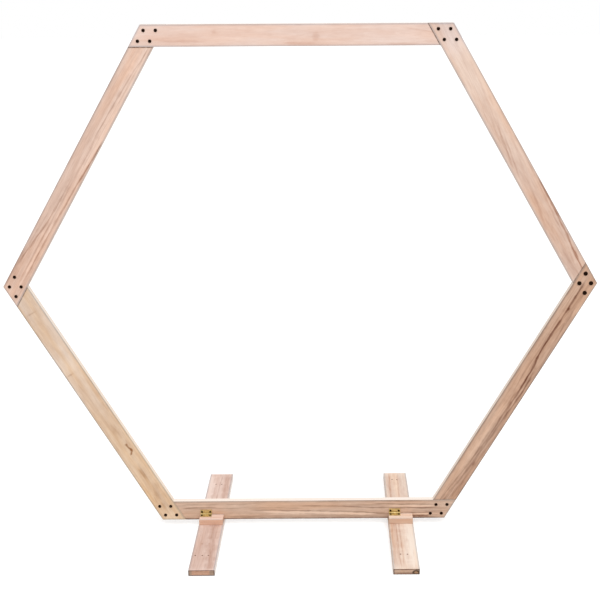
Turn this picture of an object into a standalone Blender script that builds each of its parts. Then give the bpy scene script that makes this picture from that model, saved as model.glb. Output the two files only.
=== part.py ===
"""Wedding arch: a hexagon of six half-lapped pine boards, standing on two hinged feet boards.

Metres, +Z up. The origin is on the floor under the middle of the arch. +X runs along the arch
and -Y is its front, the side with the stop blocks and the hinges.
"""

import math

import bmesh
import bpy
from mathutils import Matrix, Vector

# Hexagonal frame of boards
SIDES = 6
ACROSS_CORNERS = 2.200
BOARD_WIDTH = 0.078
BOARD_THICKNESS = 0.022
BOARD_EDGE_ROUND = 0.0010

# Furniture bolts, four through each corner lap
BOLT_SPACING = 0.0430
BOLT_HEAD_DIAMETER = 0.0122
WIDE_BOLT_HEAD_DIAMETER = 0.0160
WIDE_BOLT_CORNER = "right_corner"
BOLT_HEAD_HEIGHT = 0.0022
BOLT_HEAD_RIM = 0.0012
BOLT_HEAD_SLOPE = 0.0017
BOLT_SHANK_DIAMETER = 0.0060

# Feet boards, each with a stop block in front of the bottom rail
FOOT_LENGTH = 0.750
FOOT_WIDTH = 0.095
FOOT_THICKNESS = 0.022
FOOT_EDGE_ROUND = 0.0012
LEFT_FOOT_FROM_CORNER = 0.193
RIGHT_FOOT_FROM_CORNER = 0.172
BLOCK_WIDTH = 0.092
BLOCK_DEPTH = 0.043
BLOCK_HEIGHT = 0.022
BLOCK_EDGE_ROUND = 0.0008

# Brass butt hinge between the bottom rail's front face and the stop block's top
HINGE_LENGTH = 0.0440
HINGE_SIDE_INSET = 0.0015
LEAF_WIDTH = 0.0175
LEAF_THICKNESS = 0.0015
BARREL_DIAMETER = 0.0050
PIN_DIAMETER = 0.0024
KNUCKLES = 3
SCREW_SPACING = 0.0320
SCREW_FROM_PIN = 0.0088
SCREW_HOLE_DIAMETER = 0.0042
COUNTERSINK_DIAMETER = 0.0080
COUNTERSINK_DEPTH = 0.0011

# Clearances
TOUCH_GAP = 0.0003
RUNNING_GAP = 0.0003
CUT_OVERRUN = 0.010

# Fineness of the round pieces
BOLT_FACETS = 16
HINGE_FACETS = 16
PIN_FACETS = 12
SCREW_FACETS = 12

# Sizes that follow from the ones above
SIDE_LENGTH = ACROSS_CORNERS * math.sin(math.pi / SIDES)
APOTHEM = ACROSS_CORNERS / 2 * math.cos(math.pi / SIDES)
TURN = 2 * math.pi / SIDES
FRONT_FACE_Y = -BOARD_THICKNESS / 2
RAIL_BOTTOM_Z = FOOT_THICKNESS + TOUCH_GAP
CENTRE_Z = RAIL_BOTTOM_Z + APOTHEM
LEFT_FOOT_X = LEFT_FOOT_FROM_CORNER - SIDE_LENGTH / 2
RIGHT_FOOT_X = SIDE_LENGTH / 2 - RIGHT_FOOT_FROM_CORNER
BLOCK_BOTTOM_Z = FOOT_THICKNESS + TOUCH_GAP
BLOCK_TOP_Z = BLOCK_BOTTOM_Z + BLOCK_HEIGHT
BLOCK_BACK_Y = FRONT_FACE_Y - TOUCH_GAP
PIN_Y = FRONT_FACE_Y - TOUCH_GAP - BARREL_DIAMETER / 2
PIN_Z = BLOCK_TOP_Z + TOUCH_GAP + BARREL_DIAMETER / 2

# Boards clockwise from the top as seen from the front, and the corner at each one's far end
BOARDS = [
    ("top_rail", "top_right_corner", "pale_pine"),
    ("upper_right_board", "right_corner", "pink_pine"),
    ("lower_right_board", "bottom_right_corner", "brown_pine"),
    ("bottom_rail", "bottom_left_corner", "brown_pine"),
    ("lower_left_board", "left_corner", "tan_pine"),
    ("upper_left_board", "top_left_corner", "pink_pine"),
]

FINISHES = {
    "pale_pine": ((0.86, 0.72, 0.62), 0.60, 0.0),
    "pink_pine": ((0.80, 0.63, 0.52), 0.60, 0.0),
    "tan_pine": ((0.76, 0.61, 0.46), 0.60, 0.0),
    "brown_pine": ((0.70, 0.54, 0.42), 0.62, 0.0),
    "dark_bolt": ((0.035, 0.022, 0.018), 0.40, 1.0),
    "brass": ((0.72, 0.58, 0.24), 0.32, 1.0),
}


def clear_scene():
    for obj in list(bpy.data.objects):
        bpy.data.objects.remove(obj)


def make_collection(name):
    collection = bpy.data.collections.new(name)
    bpy.context.scene.collection.children.link(collection)
    return collection


def make_material(name, finish):
    colour, roughness, metallic = FINISHES[finish]
    material = bpy.data.materials.new(name)
    material.use_nodes = True
    shader = material.node_tree.nodes["Principled BSDF"]
    shader.inputs["Base Color"].default_value = (*colour, 1.0)
    shader.inputs["Roughness"].default_value = roughness
    shader.inputs["Metallic"].default_value = metallic
    return material


def make_empty(name, collection, parent=None, location=(0, 0, 0), rotation=(0, 0, 0)):
    empty = bpy.data.objects.new(name, None)
    empty.empty_display_size = 0.05
    collection.objects.link(empty)
    empty.parent = parent
    empty.location = location
    empty.rotation_euler = rotation
    return empty


def make_part(name, mesh, finish, collection, parent, location=(0, 0, 0), rotation=(0, 0, 0)):
    """A named piece on its parent, with a material of its own on a mesh that others may share."""
    part = bpy.data.objects.new(name, mesh)
    collection.objects.link(part)
    part.parent = parent
    part.location = location
    part.rotation_euler = rotation
    if not mesh.materials:
        mesh.materials.append(None)
    part.material_slots[0].link = "OBJECT"
    part.material_slots[0].material = make_material(name, finish)
    return part


def add_object(name, mesh, collection):
    obj = bpy.data.objects.new(name, mesh)
    collection.objects.link(obj)
    return obj


def mesh_from_bmesh(name, shape):
    mesh = bpy.data.meshes.new(name)
    shape.to_mesh(mesh)
    shape.free()
    return mesh


def box_mesh(name, low, high):
    shape = bmesh.new()
    size = Vector(high) - Vector(low)
    middle = (Vector(high) + Vector(low)) / 2
    bmesh.ops.create_cube(shape, size=1.0)
    bmesh.ops.scale(shape, vec=size, verts=shape.verts)
    bmesh.ops.translate(shape, vec=middle, verts=shape.verts)
    return mesh_from_bmesh(name, shape)


def add_cylinder(shape, start, end, start_radius, end_radius, facets, turn=0.0):
    """Adds a closed cylinder or cone between two points to a bmesh."""
    start, end = Vector(start), Vector(end)
    along = end - start
    facing = along.to_track_quat("Z", "Y").to_matrix().to_4x4()
    place = Matrix.Translation((start + end) / 2) @ facing @ Matrix.Rotation(turn, 4, "Z")
    bmesh.ops.create_cone(shape, cap_ends=True, segments=facets, radius1=start_radius,
                          radius2=end_radius, depth=along.length, matrix=place)


def cylinder_mesh(name, start, end, radius, facets, turn=0.0):
    shape = bmesh.new()
    add_cylinder(shape, start, end, radius, radius, facets, turn)
    return mesh_from_bmesh(name, shape)


def finished_mesh(obj):
    """The object's mesh with its modifiers carried out; the object itself goes."""
    bpy.context.view_layer.update()
    graph = bpy.context.evaluated_depsgraph_get()
    mesh = bpy.data.meshes.new_from_object(obj.evaluated_get(graph))
    mesh.name = obj.name
    bpy.data.objects.remove(obj)
    return mesh


def outline_mesh(name, points, back, front, collection):
    """A flat outline in XY, filled and extruded from z = back to z = front."""
    curve = bpy.data.curves.new(name, "CURVE")
    curve.dimensions = "2D"
    curve.fill_mode = "BOTH"
    curve.extrude = (front - back) / 2
    spline = curve.splines.new("POLY")
    spline.points.add(len(points) - 1)
    for point, (x, y) in zip(spline.points, points):
        point.co = (x, y, 0, 1)
    spline.use_cyclic_u = True
    mesh = finished_mesh(add_object(name, curve, collection))
    shape = bmesh.new()
    shape.from_mesh(mesh)
    bmesh.ops.remove_doubles(shape, verts=shape.verts, dist=0.00001)
    bmesh.ops.translate(shape, vec=(0, 0, (front + back) / 2), verts=shape.verts)
    bmesh.ops.recalc_face_normals(shape, faces=shape.faces)
    shape.to_mesh(mesh)
    shape.free()
    return mesh


def add_bevel(obj, width, segments):
    bevel = obj.modifiers.new("Eased edges", "BEVEL")
    bevel.width = width
    bevel.segments = segments
    bevel.limit_method = "ANGLE"


def cut_mesh(obj, cutters, operation="DIFFERENCE"):
    """Carries out a row of Booleans on an object and returns its mesh; the cutters go too."""
    for cutter in cutters:
        cutter.hide_render = True
        cutter.display_type = "WIRE"
        boolean = obj.modifiers.new(cutter.name, "BOOLEAN")
        boolean.operation = operation
        boolean.solver = "EXACT"
        boolean.object = cutter
    mesh = finished_mesh(obj)
    for cutter in cutters:
        bpy.data.objects.remove(cutter)
    return mesh


def smooth_round_faces(mesh):
    mesh.shade_smooth()
    mesh.set_sharp_from_angle(angle=math.radians(35))


def neighbour_line_x(y, inset):
    """Where a line along the next board, inset from its outer edge, crosses height y."""
    return SIDE_LENGTH / 2 + (APOTHEM - y) * math.tan(TURN / 2) - inset / math.cos(TURN / 2)


def lap_bolt_places(end):
    """The four bolt places in the lap at the board's end: +1 is its far end, -1 its near end."""
    lap_middle_y = APOTHEM - BOARD_WIDTH / 2
    lap_middle_x = neighbour_line_x(lap_middle_y, BOARD_WIDTH / 2)
    along_board = Vector((BOLT_SPACING / 2, 0))
    along_neighbour = Vector((math.cos(TURN), -math.sin(TURN))) * BOLT_SPACING / 2
    for across in (-1, 1):
        for along in (-1, 1):
            place = Vector((lap_middle_x, lap_middle_y))
            place += along_board * along + along_neighbour * across
            yield Vector((place.x * end, place.y))


def lap_cutter(end, collection):
    """Removes the front half of the far end, or the back half of the near end."""
    top = APOTHEM + CUT_OVERRUN
    bottom = APOTHEM - BOARD_WIDTH - CUT_OVERRUN
    shoulder = BOARD_WIDTH + TOUCH_GAP
    points = [
        (neighbour_line_x(top, shoulder) * end, top),
        (neighbour_line_x(top, -CUT_OVERRUN) * end, top),
        (neighbour_line_x(bottom, -CUT_OVERRUN) * end, bottom),
        (neighbour_line_x(bottom, shoulder) * end, bottom),
    ]
    inner = -TOUCH_GAP / 2 * end
    outer = (BOARD_THICKNESS / 2 + CUT_OVERRUN) * end
    mesh = outline_mesh("lap", points, min(inner, outer), max(inner, outer), collection)
    return add_object("lap_cutter", mesh, collection)


def bolt_hole_cutter(collection):
    shape = bmesh.new()
    radius = BOLT_SHANK_DIAMETER / 2 + RUNNING_GAP
    reach = BOARD_THICKNESS / 2 + CUT_OVERRUN
    for end in (-1, 1):
        for place in lap_bolt_places(end):
            add_cylinder(shape, (*place, -reach), (*place, reach), radius, radius, BOLT_FACETS)
    return add_object("bolt_hole_cutter", mesh_from_bmesh("bolt_holes", shape), collection)


def board_mesh(collection):
    """One frame board about the hexagon's centre: x along it, y outwards, z to the front.

    Its inner edge is longer than its outer edge, because each end runs on to the outer edge of
    the board that it laps.
    """
    inner_edge_y = APOTHEM - BOARD_WIDTH
    outline = [
        (-neighbour_line_x(APOTHEM, 0), APOTHEM),
        (-neighbour_line_x(inner_edge_y, 0), inner_edge_y),
        (neighbour_line_x(inner_edge_y, 0), inner_edge_y),
        (neighbour_line_x(APOTHEM, 0), APOTHEM),
    ]
    mesh = outline_mesh("blank", outline, -BOARD_THICKNESS / 2, BOARD_THICKNESS / 2, collection)
    board = add_object("board", mesh, collection)
    add_bevel(board, BOARD_EDGE_ROUND, 2)
    cutters = [lap_cutter(-1, collection), lap_cutter(1, collection)]
    cutters.append(bolt_hole_cutter(collection))
    return cut_mesh(board, cutters)


def bolt_mesh(head_diameter, collection):
    """A bolt and its cap nut, turned as one piece: a low domed head front and back."""
    seat = BOARD_THICKNESS / 2 + TOUCH_GAP
    head_radius = head_diameter / 2
    head = [
        (0, seat + BOLT_HEAD_HEIGHT),
        (head_radius - BOLT_HEAD_SLOPE, seat + BOLT_HEAD_HEIGHT),
        (head_radius, seat + BOLT_HEAD_RIM),
        (head_radius, seat),
        (BOLT_SHANK_DIAMETER / 2, seat),
    ]
    profile = head + [(x, -z) for x, z in reversed(head)]
    mesh = bpy.data.meshes.new("bolt")
    edges = [(i, i + 1) for i in range(len(profile) - 1)]
    mesh.from_pydata([(x, 0, z) for x, z in profile], edges, [])
    bolt = add_object("bolt", mesh, collection)
    turned = bolt.modifiers.new("Turned", "SCREW")
    turned.axis = "Z"
    turned.steps = BOLT_FACETS
    turned.render_steps = BOLT_FACETS
    turned.use_merge_vertices = True
    turned.merge_threshold = 0.00001
    mesh = finished_mesh(bolt)
    smooth_round_faces(mesh)
    return mesh


def knuckle_span(number):
    """The stretch of the barrel that one knuckle takes, along the pin."""
    length = HINGE_LENGTH / KNUCKLES
    return number * length - HINGE_LENGTH / 2, (number + 1) * length - HINGE_LENGTH / 2


def knuckle_slot(number, collection):
    """Room in a leaf for a knuckle of the other leaf."""
    start, end = knuckle_span(number)
    reach = BARREL_DIAMETER / 2 + RUNNING_GAP
    start -= CUT_OVERRUN if number == 0 else RUNNING_GAP / 2
    end += CUT_OVERRUN if number == KNUCKLES - 1 else RUNNING_GAP / 2
    low = (start, -reach - CUT_OVERRUN, -reach - CUT_OVERRUN)
    high = (end, reach + CUT_OVERRUN, reach)
    return add_object(f"slot_{number}", box_mesh("slot", low, high), collection)


def screw_hole_cutter(collection):
    """Countersunk screw holes through a leaf, from its seen side."""
    shape = bmesh.new()
    back = BARREL_DIAMETER / 2
    front = back - LEAF_THICKNESS
    widening = (COUNTERSINK_DIAMETER - SCREW_HOLE_DIAMETER) / 2 / COUNTERSINK_DEPTH
    overrun = COUNTERSINK_DEPTH / 2
    sink_radius = COUNTERSINK_DIAMETER / 2 + widening * overrun
    hole_radius = SCREW_HOLE_DIAMETER / 2
    for x in (-SCREW_SPACING / 2, SCREW_SPACING / 2):
        mouth = (x, front - overrun, SCREW_FROM_PIN)
        throat = (x, front + COUNTERSINK_DEPTH, SCREW_FROM_PIN)
        far_side = (x, back + overrun, SCREW_FROM_PIN)
        add_cylinder(shape, mouth, throat, sink_radius, hole_radius, SCREW_FACETS)
        add_cylinder(shape, mouth, far_side, hole_radius * 0.999, hole_radius * 0.999, SCREW_FACETS)
    return add_object("screw_hole_cutter", mesh_from_bmesh("screw_holes", shape), collection)


def leaf_mesh(name, own_knuckles, collection):
    """A hinge leaf about its pin: x along the pin, the leaf up +z, its screwed side at +y."""
    radius = BARREL_DIAMETER / 2
    half = HINGE_LENGTH / 2
    plate = add_object(name, box_mesh(name, (-half, radius - LEAF_THICKNESS, 0),
                                      (half, radius, LEAF_WIDTH)), collection)
    half_facet = math.pi / HINGE_FACETS
    barrel = cylinder_mesh("barrel", (-half, 0, 0), (half, 0, 0), radius, HINGE_FACETS, half_facet)
    joined = cut_mesh(plate, [add_object("barrel", barrel, collection)], "UNION")
    bore_end = half + CUT_OVERRUN
    bore = cylinder_mesh("bore", (-bore_end, 0, 0), (bore_end, 0, 0),
                         PIN_DIAMETER / 2 + RUNNING_GAP, HINGE_FACETS)
    cutters = [add_object("bore_cutter", bore, collection)]
    for number in range(KNUCKLES):
        if number not in own_knuckles:
            cutters.append(knuckle_slot(number, collection))
    cutters.append(screw_hole_cutter(collection))
    mesh = cut_mesh(add_object(name, joined, collection), cutters)
    smooth_round_faces(mesh)
    return mesh


def build_frame(parts, workshop):
    """Six boards and their corner bolts, about an empty at the hexagon's centre."""
    centre = make_empty("frame_centre", parts, None, (0, 0, CENTRE_Z), (math.radians(90), 0, 0))
    board = board_mesh(workshop)
    usual_bolt = bolt_mesh(BOLT_HEAD_DIAMETER, workshop)
    wide_bolt = bolt_mesh(WIDE_BOLT_HEAD_DIAMETER, workshop)
    for number, (name, corner, finish) in enumerate(BOARDS):
        turn = -number * TURN
        make_part(name, board, finish, parts, centre, rotation=(0, 0, turn))
        bolt = wide_bolt if corner == WIDE_BOLT_CORNER else usual_bolt
        for count, place in enumerate(lap_bolt_places(1), start=1):
            turned = Matrix.Rotation(turn, 2) @ place
            make_part(f"{corner}_bolt_{count}", bolt, "dark_bolt", parts, centre, (*turned, 0))


def build_foot(side, foot_x, parts, workshop):
    """A foot board with its stop block and hinge, about an empty on the hinge pin's axis."""
    hinge_x = foot_x - BLOCK_WIDTH / 2 + HINGE_SIDE_INSET + HINGE_LENGTH / 2
    pin = make_empty(f"{side}_hinge_axis", parts, None, (hinge_x, PIN_Y, PIN_Z))
    to_pin = Vector((hinge_x, PIN_Y, PIN_Z))

    low = Vector((foot_x - FOOT_WIDTH / 2, -FOOT_LENGTH / 2, 0)) - to_pin
    high = Vector((foot_x + FOOT_WIDTH / 2, FOOT_LENGTH / 2, FOOT_THICKNESS)) - to_pin
    foot = make_part(f"{side}_foot", box_mesh("foot", low, high), "pale_pine", parts, pin)
    add_bevel(foot, FOOT_EDGE_ROUND, 2)

    low = Vector((foot_x - BLOCK_WIDTH / 2, BLOCK_BACK_Y - BLOCK_DEPTH, BLOCK_BOTTOM_Z)) - to_pin
    high = Vector((foot_x + BLOCK_WIDTH / 2, BLOCK_BACK_Y, BLOCK_TOP_Z)) - to_pin
    block = make_part(f"{side}_stop_block", box_mesh("block", low, high), "pale_pine", parts, pin)
    add_bevel(block, BLOCK_EDGE_ROUND, 2)

    outer_knuckles = range(0, KNUCKLES, 2)
    inner_knuckles = range(1, KNUCKLES, 2)
    rail_leaf = leaf_mesh("rail_leaf", outer_knuckles, workshop)
    foot_leaf = leaf_mesh("foot_leaf", inner_knuckles, workshop)
    make_part(f"{side}_hinge_rail_leaf", rail_leaf, "brass", parts, pin)
    lying = Matrix.Rotation(math.pi, 4, Vector((0, 1, -1))).to_euler()
    make_part(f"{side}_hinge_foot_leaf", foot_leaf, "brass", parts, pin, rotation=lying)

    pin_end = HINGE_LENGTH / 2
    pin_mesh = cylinder_mesh("pin", (-pin_end, 0, 0), (pin_end, 0, 0), PIN_DIAMETER / 2, PIN_FACETS)
    smooth_round_faces(pin_mesh)
    make_part(f"{side}_hinge_pin", pin_mesh, "brass", parts, pin)


def main():
    clear_scene()
    parts = make_collection("Wedding arch")
    workshop = make_collection("Cutters")
    build_frame(parts, workshop)
    build_foot("left", LEFT_FOOT_X, parts, workshop)
    build_foot("right", RIGHT_FOOT_X, parts, workshop)


main()
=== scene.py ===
import math

import bmesh
import bpy
from mathutils import Matrix, Vector


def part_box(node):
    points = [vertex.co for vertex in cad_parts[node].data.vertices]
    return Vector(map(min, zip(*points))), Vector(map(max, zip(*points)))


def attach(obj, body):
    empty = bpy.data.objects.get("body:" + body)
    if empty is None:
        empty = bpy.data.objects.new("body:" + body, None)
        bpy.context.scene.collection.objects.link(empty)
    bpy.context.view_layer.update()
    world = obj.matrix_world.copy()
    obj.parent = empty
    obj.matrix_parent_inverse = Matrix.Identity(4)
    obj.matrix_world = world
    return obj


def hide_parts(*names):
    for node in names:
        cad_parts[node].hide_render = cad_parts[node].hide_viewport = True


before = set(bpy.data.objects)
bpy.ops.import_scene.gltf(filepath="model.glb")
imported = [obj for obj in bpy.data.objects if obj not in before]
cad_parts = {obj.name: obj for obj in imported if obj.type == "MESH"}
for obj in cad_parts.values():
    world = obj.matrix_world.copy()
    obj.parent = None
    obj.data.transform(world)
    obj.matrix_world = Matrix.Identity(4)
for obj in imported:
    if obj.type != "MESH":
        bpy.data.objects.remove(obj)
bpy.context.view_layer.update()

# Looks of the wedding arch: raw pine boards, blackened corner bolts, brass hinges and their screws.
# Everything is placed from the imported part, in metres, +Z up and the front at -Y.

RIGHT, UP = Vector((1, 0, 0)), Vector((0, 0, 1))
FRONT, BACK = Vector((0, -1, 0)), Vector((0, 1, 0))

# Sizes read from the frame
TOP_LOW, TOP_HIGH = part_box("top_rail")
RAIL_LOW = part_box("bottom_rail")[0]
BOARD_WIDTH = TOP_HIGH.z - TOP_LOW.z
BOARD_THICKNESS = TOP_HIGH.y - TOP_LOW.y
CENTRE = Vector((0, 0, (TOP_HIGH.z + RAIL_LOW.z) / 2))
APOTHEM = (TOP_HIGH.z - RAIL_LOW.z) / 2
FRONT_Y = TOP_LOW.y

# Six equal sides, and the corners at their far ends, clockwise from the top
TURN = math.pi / 3
SIDE_LENGTH = 2 * APOTHEM * math.tan(TURN / 2)
CORNER_NAMES = ["top_right", "right", "bottom_right", "bottom_left", "left", "top_left"]
BOLTS_PER_CORNER = 4

# Scales of the pine's noises: along the grain, across the face and through the piece
DRIFT_SCALE = (1.3, 3.0, 3.0)
RIPPLE_SCALE = (7.0, 26.0, 26.0)
FIBRE_SCALE = (9.0, 620.0, 620.0)
FLECK_SCALE = (26.0, 150.0, 150.0)
PATCH_SCALE = (4.5, 30.0, 30.0)
BLUSH_SCALE = (3.0, 24.0, 24.0)
MOTTLE_SCALE = (14.0, 260.0, 40.0)
KNOT_SCALE = (70.0, 160.0, 40.0)
SEAM_SCALE = (60.0, 60.0, 60.0)
SAWN_SCALE = (60.0, 45.0, 160.0)

# Growth rings, and the sway and swell of streaks along a board
RING_WIDTH = 0.0032
RING_RIPPLE = 0.004
RING_VARIETY = 0.61
PITH_DRIFT = 3.0
LATE_WOOD_RISE, LATE_WOOD_FALL = (0.35, 0.93), (0.95, 1.0)
STREAK_SWAY = 0.005
SWAYS_PER_METRE, SWELLS_PER_METRE = 11.0, 23.0
SEED_STEP = 5.7
SEED_SPREAD_X, SEED_SPREAD_Z = 7.31, 3.77

# Blackened furniture bolts
BOLT_DOME = 0.0009
BOLT_RIM_ROUND = 0.0004
SOCKET_ACROSS = 0.005
SOCKET_DEPTH = 0.0016
BOLT_SEGMENTS = 24

# Hinge leaves and their screws
LEAF_THICKNESS = 0.0015
SCREW_HEAD_DIAMETER = 0.0088
SCREW_HEAD_DOME = 0.0003
SCREW_HEAD_RIM = 0.0004
SCREW_SLOT_WIDTH = 0.001
SCREW_SLOT_DEPTH = 0.0004
SCREW_SLOT_REACH = 0.62
SCREW_SEGMENTS = 24
SCREW_SPACING = 0.032
SCREW_FROM_PIN = 0.0088
SCREW_SINK = 0.0004

# Nails that show in the feet, from each foot's middle: across it, and towards the front
NAILS = {
    "left": [(-0.034, 0.2745), (-0.008, 0.2745), (0.014, 0.2745), (-0.0155, -0.283), (0.008, -0.282)],
    "right": [(-0.016, 0.275), (0.01, 0.276), (0.006, -0.312), (-0.014, -0.316)],
}
NAIL_HEAD_DIAMETER = 0.006
NAIL_HEAD_DOME = 0.0003
NAIL_HEAD_RIM = 0.0002
NAIL_SINK = 0.0001
NAIL_SEGMENTS = 14

# Every turned head: the steps of its profile, its fine rim, and where its shading stays sharp
RIM_STEPS, DOME_STEPS = 3, 5
FINE_RIM_ROUND = 0.0001
SHARP_ANGLE_DEGREES = 35

# The camera, for a picture of 600 by 600
PICTURE_SIZE = 600
FOCAL_PIXELS = 1072.1
VIEW_CENTRE_PIXEL = (335.0, 225.0)
CAMERA_PLACE = (0.1205, -3.8191, 2.118)
CAMERA_TURN_DEGREES = (76.487, 0.318, -0.21)
SENSOR_WIDTH = 36.0

# Light and floor
WHITE = (1, 1, 1, 1)
SKY_STRENGTH = 0.82
SUN_STRENGTH = 1.2
SUN_SPREAD_DEGREES = 50
SUN_TURN_DEGREES = (30, 5, 12)
FLOOR_COLOUR = (0.7, 0.7, 0.7, 1)
FLOOR_LIFT = 0.42
FLOOR_SIZE = 60.0
FLOOR_DROP = 0.0005


# Short ways to build node trees

def feed(tree, socket, value):
    """Links a socket to another one, or sets it to a plain value."""
    if isinstance(value, bpy.types.NodeSocket):
        tree.links.new(value, socket)
    else:
        socket.default_value = value


def fill(tree, node, inputs):
    """Feeds a node's inputs, each given by its name or its number."""
    for name, value in inputs.items():
        feed(tree, node.inputs[name], value)


def add(tree, kind, inputs=None, **settings):
    """A new node, with its settings made before its inputs are fed."""
    node = tree.nodes.new(kind)
    for name, value in settings.items():
        setattr(node, name, value)
    fill(tree, node, inputs or {})
    return node


def calc(tree, operation, *values):
    return add(tree, "ShaderNodeMath", dict(enumerate(values)), operation=operation).outputs[0]


def times(tree, product, *factors):
    for factor in factors:
        product = calc(tree, "MULTIPLY", product, factor)
    return product


def vector_calc(tree, operation, first, second, output="Vector"):
    node = add(tree, "ShaderNodeVectorMath", {0: first, 1: second}, operation=operation)
    return node.outputs[output]


def dot(tree, vector, direction):
    return vector_calc(tree, "DOT_PRODUCT", vector, direction, "Value")


def split(tree, vector):
    """The X, Y and Z of a vector."""
    return add(tree, "ShaderNodeSeparateXYZ", {0: vector}).outputs


def length_of(tree, first, second):
    """The length of the long side of a right triangle."""
    squares = [times(tree, side, side) for side in (first, second)]
    return calc(tree, "SQRT", calc(tree, "ADD", *squares))


def apart(tree, first, second):
    """How far two numbers are apart."""
    return calc(tree, "ABSOLUTE", calc(tree, "SUBTRACT", first, second))


def inside(tree, value, width):
    """How far a place lies inside the nearer side of a piece that has this width."""
    return calc(tree, "SUBTRACT", width / 2, calc(tree, "ABSOLUTE", value))


def swayed(tree, value, wave, reach):
    """Moves a value to both sides by a noise wave, which goes from 0 to 1."""
    return calc(tree, "MULTIPLY_ADD", calc(tree, "SUBTRACT", wave, 0.5), reach, value)


def between(tree, value, low, high, to_low=0.0, to_high=1.0, kind="SMOOTHSTEP"):
    """Maps a value from low..high to to_low..to_high, held at both ends."""
    return add(tree, "ShaderNodeMapRange", {
        "Value": value, "From Min": low, "From Max": high, "To Min": to_low, "To Max": to_high,
    }, interpolation_type=kind).outputs["Result"]


def window(tree, value, rise, fall, top=1.0):
    """Rises from 0 over one range of a value, and falls to 0 again over a later one."""
    return times(tree, between(tree, value, *rise), between(tree, value, *fall, top, 0.0))


def noise(tree, place, scale, detail=2.0, roughness=0.5):
    """Noise from 0 to 1. Its scale is one number, or one for each axis."""
    if isinstance(scale, tuple):
        place, scale = vector_calc(tree, "MULTIPLY", place, scale), 1.0
    return add(tree, "ShaderNodeTexNoise", {
        "Vector": place, "Scale": scale, "Detail": detail, "Roughness": roughness,
    }).outputs["Fac"]


def line_noise(tree, value, detail=2.0, roughness=0.5):
    """Noise along one number."""
    return add(tree, "ShaderNodeTexNoise", {
        "W": value, "Scale": 1.0, "Detail": detail, "Roughness": roughness,
    }, noise_dimensions="1D").outputs["Fac"]


def blend_colour(tree, share, first, second, mode="MIX"):
    return add(tree, "ShaderNodeMix", {0: share, 6: first, 7: second},
               data_type="RGBA", blend_type=mode).outputs[2]


def tinted(tree, share, colour, tint):
    return blend_colour(tree, share, colour, tint, "MULTIPLY")


def bump(tree, height, strength, distance):
    return add(tree, "ShaderNodeBump", {
        "Height": height, "Strength": strength, "Distance": distance}).outputs["Normal"]


def name_socket(tree, name, kind, in_out="INPUT"):
    tree.interface.new_socket(name, in_out=in_out, socket_type=f"NodeSocket{kind}")


def new_group(name, inputs, outputs):
    """A shader group. Its input Place is a vector, and its other inputs and outputs are numbers."""
    tree = bpy.data.node_groups.new(name, "ShaderNodeTree")
    name_socket(tree, "Place", "Vector")
    for label in inputs:
        name_socket(tree, label, "Float")
    for label in outputs:
        name_socket(tree, label, "Float", "OUTPUT")
    return tree, add(tree, "NodeGroupInput").outputs


def use_group(tree, group, inputs):
    return add(tree, "ShaderNodeGroup", inputs, node_tree=group).outputs


def new_material(name):
    material = bpy.data.materials.new(name)
    material.use_nodes = True
    return material, material.node_tree, material.node_tree.nodes["Principled BSDF"]


def srgb(red, green, blue):
    """A colour given in the 0 to 255 steps of a picture, as the linear colour of a shader."""
    steps = [value / 255 for value in (red, green, blue)]
    linear = [s / 12.92 if s <= 0.04045 else ((s + 0.055) / 1.055) ** 2.4 for s in steps]
    return (*linear, 1.0)


# The CAD nodes: where they are, and their own material slots

def middle_of(node):
    low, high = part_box(node)
    return (low + high) / 2


def board_stock(number):
    """A frame board's middle, its axes (clockwise along it, outwards, to the front) and its size."""
    turn = number * TURN
    along = Vector((math.cos(turn), 0, -math.sin(turn)))
    outwards = Vector((math.sin(turn), 0, math.cos(turn)))
    middle = CENTRE + outwards * (APOTHEM - BOARD_WIDTH / 2)
    return middle, (along, outwards, FRONT), (SIDE_LENGTH, BOARD_WIDTH, BOARD_THICKNESS)


def box_stock(node, axes):
    """The middle of a foot or block, its axes (along it, across it, up) and its size along them."""
    low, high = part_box(node)
    return middle_of(node), axes, [abs((high - low).dot(axis)) for axis in axes]


def dress(node, material):
    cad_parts[node].material_slots[0].material = material


# Pine

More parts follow.
